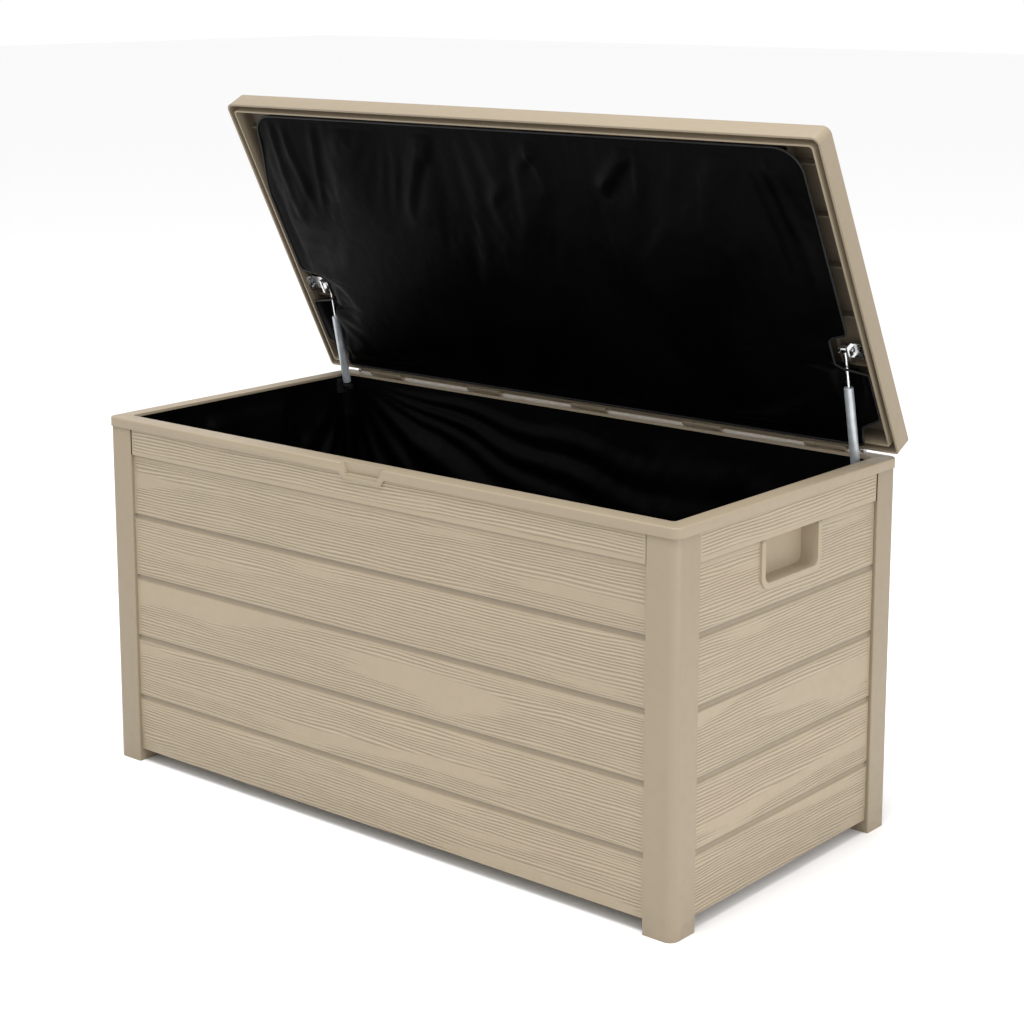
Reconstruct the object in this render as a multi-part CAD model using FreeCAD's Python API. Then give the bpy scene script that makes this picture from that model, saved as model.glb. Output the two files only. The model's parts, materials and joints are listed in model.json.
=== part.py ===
import FreeCAD, Part
import math
import os

# Storage bench: a plank-sided resin box on four corner posts, with a hinged seat lid
# held open by two gas struts. Millimetres. X runs along the long side (right is +X),
# Y runs from front (-Y) to rear (+Y), Z is up. The origin is on the floor, under the
# middle of the box. Every shape is written in its resting place, with the lid open.

V = FreeCAD.Vector
X_AXIS = V(1, 0, 0)

# ---- driving dimensions -------------------------------------------------------------
BOX_W = 1200.0            # over the corner posts, along X
BOX_D = 590.0             # over the corner posts, along Y
POST_TOP = 594.0          # the posts end here and the rim sits on them
RIM_TOP = 610.0           # top face of the rim
RIM_OVERHANG = 1.5        # rim past the post faces, all round
OPENING_W = 1146.0        # clear opening inside the rim
OPENING_D = 530.0
RIM_SKIN = 3.0            # wall of the rim moulding
RIM_LIP_BOTTOM = 585.0    # the rim's inner lip hangs down to here

POST_FRONT_W = 54.0       # post face seen from the front
POST_SIDE_W = 56.0        # post face seen from the side
POST_WALL = 4.0
POST_ROUND = 15.0         # rounded outer corner
POST_FLANGE = 20.0        # strip behind each panel end that takes the screws
POST_FLANGE_T = 3.4

PANEL_BOTTOM = 22.0
PLANK_PITCH = 108.0
TOP_PLANK_BOTTOM = 549.0  # lower edge of the narrow, raised top plank
GROOVE_H = 11.0           # shallow groove under each plank
GROOVE_DEPTH = 3.0
PLANK_FACE = 6.0          # plank face behind the post face
TOP_PLANK_FACE = 2.0      # raised top plank face behind the post face
PANEL_INNER = 20.0        # inner face of a panel behind the post face
PANEL_IN_POST = 10.0      # how far a panel end runs into its post
SLOT_GAP = 0.3            # clearance round a panel end
TONGUE_TOP = 600.0        # panel tongue that runs up inside the rim
CAVITY_SKIN = 2.6         # walls round the hollow inside each moulded panel
CAVITY_TOP = 578.0
CAVITY_END = 16.0         # solid stretch at each panel end, where the screws bite
LEDGE_Z = 26.0            # ledge that carries the floor
LEDGE_T = 4.0
LEDGE_W = 8.0

POCKET_W = 142.0          # handle pocket, along Y
POCKET_BOTTOM = 482.0
POCKET_DEPTH = 27.0       # from the plank face
POCKET_WALL = 3.0
POCKET_ROUND = 12.0
FRAME_BORDER = 10.0       # raised border round the pocket

SCOOP_TOP_W = 96.0        # finger scoop in the middle of the front rim
SCOOP_BOTTOM_W = 66.0
SCOOP_BOTTOM = 589.0
SCOOP_DEPTH = 10.0
APRON_TOP_W = 100.0       # rim apron that hangs below the scoop
APRON_BOTTOM_W = 80.0
APRON_BOTTOM = 584.0

FLOOR_PLATE_Z = 44.0
FLOOR_PLATE_T = 3.0
FLOOR_RIB_T = 3.0
FLOOR_RIBS_X = 11
FLOOR_RIBS_Y = 6

LINER_T = 1.4
LINER_GAP = 1.2           # room for the hook strip between the liner and the rim lip
LINER_TOP = 606.0
HOOK_STRIP_BOTTOM = 588.0
HOOK_STRIP_TOP = 600.0

HINGE_Y = 277.0           # lid pivot
HINGE_Z = 617.0
LID_SWING = 63.0          # degrees between closed and open
ROD_R = 2.5
BOX_BARREL_R = 6.2
LID_BARREL_R = 6.5
HINGE_STATIONS = [-480.0, -240.0, 0.0, 240.0, 480.0]
BOX_BARREL_L = 36.0
LID_BARREL_L = 20.0
BARREL_GAP = 0.5
HINGE_ROD_L = 1100.0

LID_W = 1236.0
LID_D = 569.0
LID_T = 37.0
LID_REAR_Y = 270.0        # rear face of the closed lid
LID_BOTTOM = RIM_TOP + 0.3
LID_TOP = LID_BOTTOM + LID_T
LID_SKIN = 3.0
SKIRT_W = 16.0            # the double-walled skirt
SKIRT_OUTER_WALL = 3.5
SKIRT_INNER_WALL = 3.0
SKIRT_CHANNEL_H = 25.0
LID_FRONT_ROUND = 14.0
LID_REAR_ROUND = 6.0
LID_EDGE_ROUND = 4.0
LID_RIB_H = 12.0
LID_RIB_T = 3.0
LID_RIBS_X = 6
LID_RIBS_Y = 10
LID_PLANKS = 5
LID_GROOVE_W = 8.0
LID_GROOVE_DEPTH = 1.8
LID_BORDER = 14.0

TUBE_W = 20.0             # steel tubes under the lid's ribs
TUBE_H = 10.0
TUBE_WALL = 1.2
TUBE_L = 1060.0
TUBE_RIBS = [1, 4]        # the long ribs they run along
TUBE_SCREW_RIBS = [1, 3, 6, 8]  # the cross ribs they are screwed to
BOSS_R = 4.5

COVER_W = 1144.0          # fabric cover under the lid
COVER_NARROW_W = 1080.0   # its rear part, which leaves room for the folded struts
COVER_WAIST_FRONT_Y = 20.0
COVER_WAIST_REAR_Y = 60.0
COVER_REAR_Y = 249.5
COVER_FRONT_Y = -277.0
COVER_BOTTOM = LID_BOTTOM + 1.0
COVER_T = 9.5
COVER_ROUND = 40.0
PIPING_W = 3.6
PIPING_GAP = 0.2

STRUT_X = 555.0           # gas struts, one at each end of the box
STRUT_LOW = (246.0, 589.0)    # lower pivot, Y and Z
STRUT_TOP = (203.0, 789.0)    # upper pivot with the lid open
STRUT_R = 7.5
STRUT_BORE_R = 6.0
STRUT_ROD_R = 3.0
CYLINDER_START = 8.0      # from the lower pivot
CYLINDER_L = 133.0
CYLINDER_CAP = 3.0
GUIDE_L = 6.0
PISTON_R = 5.8
PISTON_L = 8.0
EYE_R = 6.0
EYE_HALF = 5.0
PIN_R = 3.0

BRACKET_T = 2.5
SLOT_FRONT = 0.8          # room round the pin in the lid bracket's slot, lid closed
SLOT_REAR = 5.8
SLOT_BELOW = 5.8
SLOT_ABOVE = 2.6
UPPER_PIN_L = 22.3

SCREW_HEAD_R = 4.0
SCREW_HEAD_T = 2.4
SCREW_R = 1.9
SCREW_L = 12.0

X0 = BOX_W / 2
Y0 = BOX_D / 2
OPEN_X = OPENING_W / 2
OPEN_Y = OPENING_D / 2


# ---- small helpers ------------------------------------------------------------------
def box(x0, x1, y0, y1, z0, z1):
    return Part.makeBox(x1 - x0, y1 - y0, z1 - z0, V(x0, y0, z0))


def rod(radius, length, start, direction):
    return Part.makeCylinder(radius, length, start, direction)


def fused(shapes):
    first = shapes[0]
    if len(shapes) == 1:
        return first
    return first.multiFuse(shapes[1:]).removeSplitter()


def mirrored_x(shape):
    return shape.mirror(V(0, 0, 0), V(1, 0, 0))


def mirrored_y(shape):
    return shape.mirror(V(0, 0, 0), V(0, 1, 0))


def upright_edges(shape, near):
    """Vertical edges of a shape that stand at one of the given X, Y places."""
    found = []
    for edge in shape.Edges:
        a, b = edge.Vertexes[0].Point, edge.Vertexes[-1].Point
        if abs(a.x - b.x) > 0.01 or abs(a.y - b.y) > 0.01:
            continue
        if any(abs(a.x - x) < 0.01 and abs(a.y - y) < 0.01 for x, y in near):
            found.append(edge)
    return found


def rounded_plate(x0, x1, y0, y1, z0, z1, radius):
    plate = box(x0, x1, y0, y1, z0, z1)
    corners = [(x, y) for x in (x0, x1) for y in (y0, y1)]
    return plate.makeFillet(radius, upright_edges(plate, corners))


def prism(points, sweep):
    """A flat outline swept along a vector."""
    wire = Part.makePolygon([V(*p) for p in points] + [V(*points[0])])
    return Part.Face(wire).extrude(sweep)


def opened(shape):
    """A shape of the closed lid, turned about the hinge to where it rests when open."""
    turned = shape.copy()
    turned.rotate(V(0, HINGE_Y, HINGE_Z), X_AXIS, -LID_SWING)
    return turned


def screw(head_seat, direction):
    """A pan-head screw: the head stands on head_seat and the shank runs along direction."""
    head = rod(SCREW_HEAD_R, SCREW_HEAD_T, head_seat - direction * SCREW_HEAD_T, direction)
    shank = rod(SCREW_R, SCREW_L, head_seat, direction)
    return fused([head, shank])


# ---- the box ------------------------------------------------------------------------
def corner_post(drill):
    """The post at front right, open to the inside above the floor.

    drill holds the screws that enter its flanges.
    """
    x_in = X0 - POST_FRONT_W
    y_in = -Y0 + POST_SIDE_W
    body = box(x_in, X0, -Y0, y_in, 0, POST_TOP)
    body = body.makeFillet(POST_ROUND, upright_edges(body, [(X0, -Y0)]))
    others = [(x_in, -Y0), (X0, y_in)]
    body = body.makeFillet(2.0, upright_edges(body, others))
    core = box(x_in + POST_WALL, X0 - POST_WALL, -Y0 + POST_WALL, y_in - POST_WALL,
               POST_WALL, POST_TOP + 1)
    core = core.makeFillet(POST_ROUND - POST_WALL,
                           upright_edges(core, [(X0 - POST_WALL, -Y0 + POST_WALL)]))
    front_slot = box(x_in - 1, x_in + PANEL_IN_POST + SLOT_GAP,
                     -Y0 + TOP_PLANK_FACE - SLOT_GAP, -Y0 + PANEL_INNER + SLOT_GAP,
                     PANEL_BOTTOM - SLOT_GAP, POST_TOP + 1)
    side_slot = box(X0 - PANEL_INNER - SLOT_GAP, X0 - TOP_PLANK_FACE + SLOT_GAP,
                    y_in - PANEL_IN_POST - SLOT_GAP, y_in + 1,
                    PANEL_BOTTOM - SLOT_GAP, POST_TOP + 1)
    front_lip = box(x_in, x_in + PANEL_IN_POST, -Y0, -Y0 + PLANK_FACE - SLOT_GAP,
                    0, TOP_PLANK_BOTTOM - SLOT_GAP)
    side_lip = box(X0 - PLANK_FACE + SLOT_GAP, X0, y_in - PANEL_IN_POST, y_in,
                   0, TOP_PLANK_BOTTOM - SLOT_GAP)
    flange_y = -Y0 + PANEL_INNER + SLOT_GAP
    front_flange = box(x_in - POST_FLANGE, x_in + POST_WALL, flange_y,
                       flange_y + POST_FLANGE_T, FLOOR_PLATE_Z + 6, POST_TOP)
    flange_x = X0 - PANEL_INNER - SLOT_GAP
    side_flange = box(flange_x - POST_FLANGE_T, flange_x, y_in - POST_WALL,
                      y_in + POST_FLANGE, FLOOR_PLATE_Z + 6, POST_TOP)
    shell = body.cut(core).cut(front_slot).cut(side_slot)
    post = fused([shell, front_lip.common(body), side_lip.common(body),
                  front_flange, side_flange])
    room = box(0, OPEN_X + RIM_SKIN + SLOT_GAP, -OPEN_Y - RIM_SKIN - SLOT_GAP, 0,
               FLOOR_PLATE_Z + FLOOR_PLATE_T, POST_TOP + 1)
    return post.cut(room).cut(drill)


def post_at(front_right, left, rear):
    post = front_right
    if left:
        post = mirrored_x(post)
    if rear:
        post = mirrored_y(post)
    return post


def plank_grooves(half_length, outer_y):
    """The shallow grooves between the planks of a panel that faces -Y."""
    cuts = []
    z = TOP_PLANK_BOTTOM - PLANK_PITCH
    while z > PANEL_BOTTOM + GROOVE_H:
        cuts.append(prism([(-half_length, outer_y, z + GROOVE_H / 2),
                           (-half_length, outer_y + GROOVE_DEPTH, z + GROOVE_H / 2 - 1),
                           (-half_length, outer_y + GROOVE_DEPTH, z - GROOVE_H / 2 + 2),
                           (-half_length, outer_y, z - GROOVE_H / 2)],
                          V(2 * half_length, 0, 0)))
        z -= PLANK_PITCH
    return cuts


def plank_panel(span, post_w, face):
    """A hollow panel that faces -Y: planks, raised top plank, tongue and ledge."""
    half = span / 2 - post_w + PANEL_IN_POST
    clear = span / 2 - post_w - 1.5
    outer = -face + PLANK_FACE
    inner = -face + PANEL_INNER
    planks = box(-half, half, outer, inner, PANEL_BOTTOM, TONGUE_TOP)
    top_plank = box(-clear, clear, -face + TOP_PLANK_FACE, outer + 1,
                    TOP_PLANK_BOTTOM, POST_TOP - 0.4)
    soft_edges = [e for e in top_plank.Edges
                  if all(abs(v.Point.y + face - TOP_PLANK_FACE) < 0.01 for v in e.Vertexes)]
    top_plank = top_plank.makeFillet(1.5, soft_edges)
    ledge = box(-clear + POST_FLANGE + 4, clear - POST_FLANGE - 4, inner - 1,
                inner + LEDGE_W, LEDGE_Z, LEDGE_Z + LEDGE_T)
    cavity = box(-clear + CAVITY_END, clear - CAVITY_END, outer + GROOVE_DEPTH + CAVITY_SKIN,
                 inner - CAVITY_SKIN, PANEL_BOTTOM + CAVITY_SKIN, CAVITY_TOP)
    panel = fused([planks, top_plank, ledge]).cut(cavity)
    for groove in plank_grooves(clear + 1, outer):
        panel = panel.cut(groove)
    return panel


def scoop_room():
    """The notch in the front panel's tongue that lets the rim's scoop in."""
    half = SCOOP_TOP_W / 2 + 4
    return box(-half, half, -Y0, -Y0 + PANEL_INNER + 1, POST_TOP - 0.4, TONGUE_TOP + 1)


def handle_outline(grow, y0, y1):
    """The handle pocket's outline with rounded lower corners, from y0 to y1 deep."""
    half = POCKET_W / 2 + grow
    low = POCKET_BOTTOM - grow
    block = box(-half, half, y0, y1, low, TOP_PLANK_BOTTOM)
    edges = []
    for edge in block.Edges:
        a, b = edge.Vertexes[0].Point, edge.Vertexes[-1].Point
        if abs(a.x - b.x) < 0.01 and abs(a.z - low) < 0.01 and abs(b.z - low) < 0.01:
            edges.append(edge)
    return block.makeFillet(POCKET_ROUND + grow, edges)


def side_panel():
    """A plank panel with the handle pocket, still facing -Y."""
    face = X0
    panel = plank_panel(BOX_D, POST_SIDE_W, face)
    outer = -face + PLANK_FACE
    front = -face + TOP_PLANK_FACE
    frame = handle_outline(FRAME_BORDER, front, outer + GROOVE_DEPTH + 1)
    pocket_back = outer + POCKET_DEPTH
    housing = handle_outline(POCKET_WALL, outer + 1, pocket_back + POCKET_WALL)
    roof = box(-POCKET_W / 2 - POCKET_WALL, POCKET_W / 2 + POCKET_WALL, outer + 1,
               pocket_back + POCKET_WALL, TOP_PLANK_BOTTOM - 0.1,
               TOP_PLANK_BOTTOM + POCKET_WALL)
    pocket = handle_outline(0.0, front - 5, pocket_back)
    return fused([panel, frame, housing, roof]).cut(pocket)


def turned_to_side(panel, right):
    turned = panel.copy()
    turned.rotate(V(0, 0, 0), V(0, 0, 1), 90 if right else -90)
    return turned


def scoop_profile(top_w, bottom_w, low, high, y):
    return [(-bottom_w / 2, y, low), (bottom_w / 2, y, low),
            (top_w / 2, y, high), (-top_w / 2, y, high)]


def top_rim():
    """The channel-shaped rim, open below, with the finger scoop in its front."""
    out_x = X0 + RIM_OVERHANG
    out_y = Y0 + RIM_OVERHANG
    blank = rounded_plate(-out_x, out_x, -out_y, out_y, POST_TOP, RIM_TOP, POST_ROUND)
    edge = [e for e in blank.Edges if all(abs(v.Point.z - RIM_TOP) < 0.01 for v in e.Vertexes)]
    blank = blank.makeFillet(2.5, edge)
    lip = rounded_plate(-OPEN_X - RIM_SKIN, OPEN_X + RIM_SKIN, -OPEN_Y - RIM_SKIN,
                        OPEN_Y + RIM_SKIN, RIM_LIP_BOTTOM, RIM_TOP - 1, 9.0)
    channel = rounded_plate(-out_x + RIM_SKIN, out_x - RIM_SKIN, -out_y + RIM_SKIN,
                            out_y - RIM_SKIN, POST_TOP - 1, RIM_TOP - RIM_SKIN,
                            POST_ROUND - RIM_SKIN)
    core = rounded_plate(-OPEN_X, OPEN_X, -OPEN_Y, OPEN_Y, RIM_LIP_BOTTOM - 1,
                         RIM_TOP + 1, 6.0)
    front = -out_y
    apron = prism(scoop_profile(APRON_TOP_W, APRON_BOTTOM_W, APRON_BOTTOM, POST_TOP + 2,
                                front - 0.5),
                  V(0, RIM_OVERHANG + TOP_PLANK_FACE + 0.1, 0))
    bowl = prism(scoop_profile(SCOOP_TOP_W + 4, SCOOP_BOTTOM_W + 4, SCOOP_BOTTOM - 2,
                               RIM_TOP - 2, front + 0.5),
                 V(0, SCOOP_DEPTH + 2, 0))
    bowl = bowl.common(box(-X0, X0, front, 0, POST_TOP, RIM_TOP))
    scoop = prism(scoop_profile(SCOOP_TOP_W, SCOOP_BOTTOM_W, SCOOP_BOTTOM, RIM_TOP + 5,
                                front - 2),
                  V(0, SCOOP_DEPTH, 0))
    scoop_floor = box(-X0, X0, front - 3, front + RIM_OVERHANG + 1.2, 0, POST_TOP)
    deep = scoop.common(box(-X0, X0, front - 3, 0, POST_TOP, RIM_TOP + 6))
    shallow = scoop.common(scoop_floor)
    ring = fused([blank.cut(channel), lip])
    return fused([ring, bowl, apron]).cut(core).cut(deep).cut(shallow)


def floor_panel():
    """The floor: a plate on a grid of ribs, notched round the posts."""
    half_x = X0 - PANEL_INNER - SLOT_GAP
    half_y = Y0 - PANEL_INNER - SLOT_GAP
    low = LEDGE_Z + LEDGE_T
    plate = box(-half_x, half_x, -half_y, half_y, FLOOR_PLATE_Z, FLOOR_PLATE_Z + FLOOR_PLATE_T)
    parts = [plate]
    for i in range(FLOOR_RIBS_X):
        x = -half_x + 6 + i * (2 * half_x - 12) / (FLOOR_RIBS_X - 1)
        parts.append(box(x - FLOOR_RIB_T / 2, x + FLOOR_RIB_T / 2, -half_y, half_y,
                         low, FLOOR_PLATE_Z + 1))
    for i in range(FLOOR_RIBS_Y):
        y = -half_y + 6 + i * (2 * half_y - 12) / (FLOOR_RIBS_Y - 1)
        parts.append(box(-half_x, half_x, y - FLOOR_RIB_T / 2, y + FLOOR_RIB_T / 2,
                         low, FLOOR_PLATE_Z + 1))
    floor = fused(parts)
    notch_x = X0 - POST_FRONT_W - SLOT_GAP
    notch_y = Y0 - POST_SIDE_W - SLOT_GAP
    for sx in (-1, 1):
        for sy in (-1, 1):
            x = sorted([sx * notch_x, sx * X0])
            y = sorted([sy * notch_y, sy * Y0])
            floor = floor.cut(box(x[0], x[1], y[0], y[1], 0, POST_TOP))
    return floor


def panel_screws():
    """Screws through the post flanges into the panel ends, one quarter mirrored round."""
    seat_y = -Y0 + PANEL_INNER + SLOT_GAP + POST_FLANGE_T
    seat_x = X0 - PANEL_INNER - SLOT_GAP - POST_FLANGE_T
    at_x = X0 - POST_FRONT_W - POST_FLANGE / 2
    at_y = -Y0 + POST_SIDE_W + POST_FLANGE / 2
    quarter = []
    for z in (100.0, 310.0, 520.0):
        quarter.append(screw(V(at_x, seat_y, z), V(0, -1, 0)))
        quarter.append(screw(V(seat_x, at_y, z), V(1, 0, 0)))
    right = quarter + [mirrored_y(s) for s in quarter]
    return right + [mirrored_x(s) for s in right]


# ---- the liner ----------------------------------------------------------------------
def inner_liner():
    """The fabric liner: an open-topped bag, set in round the handle pockets."""
    out_x = OPEN_X - LINER_GAP
    out_y = OPEN_Y - LINER_GAP
    low = FLOOR_PLATE_Z + FLOOR_PLATE_T + 0.3
    outer = rounded_plate(-out_x, out_x, -out_y, out_y, low, LINER_TOP, 8.0)
    inner = rounded_plate(-out_x + LINER_T, out_x - LINER_T, -out_y + LINER_T,
                          out_y - LINER_T, low + LINER_T, LINER_TOP + 1, 6.0)
    bag = outer.cut(inner)
    pocket_x = X0 - PLANK_FACE - POCKET_DEPTH - POCKET_WALL - 0.5
    half = POCKET_W / 2 + POCKET_WALL + 3
    low_z = POCKET_BOTTOM - POCKET_WALL - 3
    high_z = TOP_PLANK_BOTTOM + POCKET_WALL + 3
    bump = box(pocket_x - LINER_T, out_x - 0.5, -half - LINER_T, half + LINER_T,
               low_z - LINER_T, high_z + LINER_T)
    hollow = box(pocket_x, out_x + 1, -half, half, low_z, high_z)
    for side in (1, -1):
        step = bump if side > 0 else mirrored_x(bump)
        room = hollow if side > 0 else mirrored_x(hollow)
        bag = fused([bag, step]).cut(room)
    return bag


def liner_hook_strip():
    """The hook strip that holds the liner's top edge to the rim's inner lip."""
    outer = rounded_plate(-OPEN_X, OPEN_X, -OPEN_Y, OPEN_Y,
                          HOOK_STRIP_BOTTOM, HOOK_STRIP_TOP, 6.0)
    inner = rounded_plate(-OPEN_X + LINER_GAP, OPEN_X - LINER_GAP, -OPEN_Y + LINER_GAP,
                          OPEN_Y - LINER_GAP, HOOK_STRIP_BOTTOM - 1, HOOK_STRIP_TOP + 1, 8.0)
    return outer.cut(inner)


# ---- the hinge ----------------------------------------------------------------------
def box_hinge_knuckle(x):
    """A foot on the rear rim, a web and the barrel that holds the hinge rod."""
    half = BOX_BARREL_L / 2
    foot = box(x - half - 12, x + half + 12, HINGE_Y + 9, Y0 - 1, RIM_TOP, RIM_TOP + 2.5)
    web = box(x - half, x + half, HINGE_Y - 1, HINGE_Y + 10, RIM_TOP, RIM_TOP + 5)
    barrel = rod(BOX_BARREL_R, BOX_BARREL_L, V(x - half, HINGE_Y, HINGE_Z), X_AXIS)
    bore = rod(ROD_R, BOX_BARREL_L + 2, V(x - half - 1, HINGE_Y, HINGE_Z), X_AXIS)
    return fused([foot, web, barrel]).cut(bore)


def box_hinge_screws():
    """One screw each side of every knuckle, through the foot into the rim."""
    seats = [(x + side * (BOX_BARREL_L / 2 + 6), HINGE_Y + 13)
             for x in HINGE_STATIONS for side in (-1, 1)]
    return [screw(V(x, y, RIM_TOP + 2.5), V(0, 0, -1)) for x, y in seats]


def lid_hinge_knuckle(x):
    """The two barrels that flank a box knuckle, on one leaf behind the closed lid."""
    inner = BOX_BARREL_L / 2 + BARREL_GAP
    leaf = box(x - inner - LID_BARREL_L, x + inner + LID_BARREL_L, LID_REAR_Y,
               LID_REAR_Y + 2.5, HINGE_Z + 7.5, LID_TOP - LID_EDGE_ROUND - 3)
    pieces = [leaf]
    for side in (-1, 1):
        start = x + inner if side > 0 else x - inner - LID_BARREL_L
        pieces.append(rod(LID_BARREL_R, LID_BARREL_L, V(start, HINGE_Y, HINGE_Z), X_AXIS))
        pieces.append(box(start, start + LID_BARREL_L, LID_REAR_Y, LID_REAR_Y + 2.5,
                          HINGE_Z - 2, HINGE_Z + 8))
    bore = rod(ROD_R + 0.08, 120, V(x - 60, HINGE_Y, HINGE_Z), X_AXIS)
    return opened(fused(pieces).cut(bore))


def lid_hinge_screws():
    z = HINGE_Z + 14
    xs = [x + side * 22 for x in HINGE_STATIONS for side in (-1, 1)]
    return [opened(screw(V(x, LID_REAR_Y + 2.5, z), V(0, -1, 0))) for x in xs]


def hinge_rod():
    return rod(ROD_R, HINGE_ROD_L, V(-HINGE_ROD_L / 2, HINGE_Y, HINGE_Z), X_AXIS)


def hinge_rod_caps():
    """Push-on caps, one on each end of the hinge rod."""
    caps = []
    for side in (-1, 1):
        start = side * (HINGE_ROD_L / 2 - 4)
        outward = V(side, 0, 0)
        cap = rod(5.0, 6.0, V(start, HINGE_Y, HINGE_Z), outward)
        bore = rod(ROD_R, 4.0, V(start, HINGE_Y, HINGE_Z), outward)
        caps.append(cap.cut(bore))
    return caps


# ---- the lid, built closed ----------------------------------------------------------
def lid_plate(inset, z0, z1, front_round, rear_round):
    """A slab of the lid's outline, drawn in by inset."""
    x = LID_W / 2 - inset
    y0 = LID_REAR_Y - LID_D + inset
    y1 = LID_REAR_Y - inset
    slab = box(-x, x, y0, y1, z0, z1)
    slab = slab.makeFillet(front_round, upright_edges(slab, [(-x, y0), (x, y0)]))
    return slab.makeFillet(rear_round, upright_edges(slab, [(-x, y1), (x, y1)]))


def lid_grooves():
    """The grooves between the planks on the seat's top face."""
    cuts = []
    pitch = (LID_D - 2 * LID_BORDER) / LID_PLANKS
    front = LID_REAR_Y - LID_D + LID_BORDER
    half = LID_W / 2 - LID_BORDER
    for i in range(1, LID_PLANKS):
        y = front + i * pitch
        cuts.append(box(-half, half, y - LID_GROOVE_W / 2, y + LID_GROOVE_W / 2,
                        LID_TOP - LID_GROOVE_DEPTH, LID_TOP + 1))
    return cuts


def lid_rib_y(i):
    """Y of the i-th long rib."""
    pitch = (LID_D - 2 * SKIRT_W + 2) / LID_RIBS_X
    return LID_REAR_Y - LID_D + SKIRT_W - 1 + (i + 0.5) * pitch


def lid_rib_x(i):
    """X of the i-th cross rib."""
    pitch = (LID_W - 2 * SKIRT_W + 2) / LID_RIBS_Y
    return -LID_W / 2 + SKIRT_W - 1 + (i + 0.5) * pitch


def tube_screw_places():
    return [(lid_rib_x(i), lid_rib_y(j)) for j in TUBE_RIBS for i in TUBE_SCREW_RIBS]


def lid_ribs():
    """The crossing ribs under the lid's skin, and a boss for each tube screw."""
    ribs = []
    low = LID_TOP - LID_SKIN - LID_RIB_H
    high = LID_TOP - LID_SKIN + 0.5
    half_x = LID_W / 2 - SKIRT_W + 1
    y0 = LID_REAR_Y - LID_D + SKIRT_W - 1
    y1 = LID_REAR_Y - SKIRT_W + 1
    for i in range(LID_RIBS_X):
        y = lid_rib_y(i)
        ribs.append(box(-half_x, half_x, y - LID_RIB_T / 2, y + LID_RIB_T / 2, low, high))
    for i in range(LID_RIBS_Y):
        x = lid_rib_x(i)
        ribs.append(box(x - LID_RIB_T / 2, x + LID_RIB_T / 2, y0, y1, low, high))
    for x, y in tube_screw_places():
        ribs.append(rod(BOSS_R, high - low, V(x, y, low), V(0, 0, 1)))
    return ribs


def lid_shell():
    outer = lid_plate(0.0, LID_BOTTOM, LID_TOP, LID_FRONT_ROUND, LID_REAR_ROUND)
    edge = [e for e in outer.Edges if all(abs(v.Point.z - LID_TOP) < 0.01 for v in e.Vertexes)]
    outer = outer.makeFillet(LID_EDGE_ROUND, edge)
    skin_low = LID_TOP - LID_SKIN
    cavity = lid_plate(SKIRT_W, LID_BOTTOM - 1, skin_low, 6.0, 3.0)
    channel_out = lid_plate(SKIRT_OUTER_WALL, LID_BOTTOM - 1, LID_BOTTOM + SKIRT_CHANNEL_H,
                            LID_FRONT_ROUND - SKIRT_OUTER_WALL, 3.0)
    channel_in = lid_plate(SKIRT_W - SKIRT_INNER_WALL, LID_BOTTOM - 2,
                           LID_BOTTOM + SKIRT_CHANNEL_H + 1, 7.5, 3.5)
    shell = outer.cut(cavity).cut(channel_out.cut(channel_in))
    shell = fused([shell] + lid_ribs())
    for groove in lid_grooves():
        shell = shell.cut(groove)
    return opened(shell)


def tube_levels():
    top = LID_TOP - LID_SKIN - LID_RIB_H - 0.3
    return top - TUBE_H, top


def lid_tubes():
    low, high = tube_levels()
    tubes = []
    for y in [lid_rib_y(i) for i in TUBE_RIBS]:
        tube = box(-TUBE_L / 2, TUBE_L / 2, y - TUBE_W / 2, y + TUBE_W / 2, low, high)
        hollow = box(-TUBE_L / 2 - 1, TUBE_L / 2 + 1, y - TUBE_W / 2 + TUBE_WALL,
                     y + TUBE_W / 2 - TUBE_WALL, low + TUBE_WALL, high - TUBE_WALL)
        tube = tube.cut(hollow)
        for x, screw_y in tube_screw_places():
            tube = tube.cut(rod(SCREW_R, TUBE_H + 2, V(x, screw_y, low - 1), V(0, 0, 1)))
        tubes.append(opened(tube))
    return tubes


def lid_tube_screws():
    low, high = tube_levels()
    return [opened(rod(SCREW_R, high - low + 5, V(x, y, low), V(0, 0, 1))
                   .fuse(rod(SCREW_HEAD_R, 0.9, V(x, y, low - 0.9), V(0, 0, 1))))
            for x, y in tube_screw_places()]


def cover_slab(grow, z0, z1):
    """A slab with the cover's outline, widened by grow all round."""
    wide = COVER_W / 2 + grow
    narrow = COVER_NARROW_W / 2 + grow
    right = [(wide, COVER_FRONT_Y - grow), (wide, COVER_WAIST_FRONT_Y),
             (narrow, COVER_WAIST_REAR_Y), (narrow, COVER_REAR_Y + grow)]
    outline = right + [(-x, y) for x, y in reversed(right)]
    slab = prism([(x, y, z0) for x, y in outline], V(0, 0, z1 - z0))
    return slab.makeFillet(COVER_ROUND + grow, upright_edges(slab, outline))


def lid_cover():
    return opened(cover_slab(0.0, COVER_BOTTOM, COVER_BOTTOM + COVER_T - 1))


def lid_cover_piping():
    """The bound edge sewn round the cover."""
    low = COVER_BOTTOM + 1.2
    high = low + PIPING_W
    ring = cover_slab(PIPING_GAP + PIPING_W, low, high)
    return opened(ring.cut(cover_slab(PIPING_GAP, low - 1, high + 1)))


# ---- the gas struts, at +X ----------------------------------------------------------
def strut_frame():
    low = V(STRUT_X, STRUT_LOW[0], STRUT_LOW[1])
    top = V(STRUT_X, STRUT_TOP[0], STRUT_TOP[1])
    along = top - low
    length = along.Length
    along.normalize()
    return low, top, along, length


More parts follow.
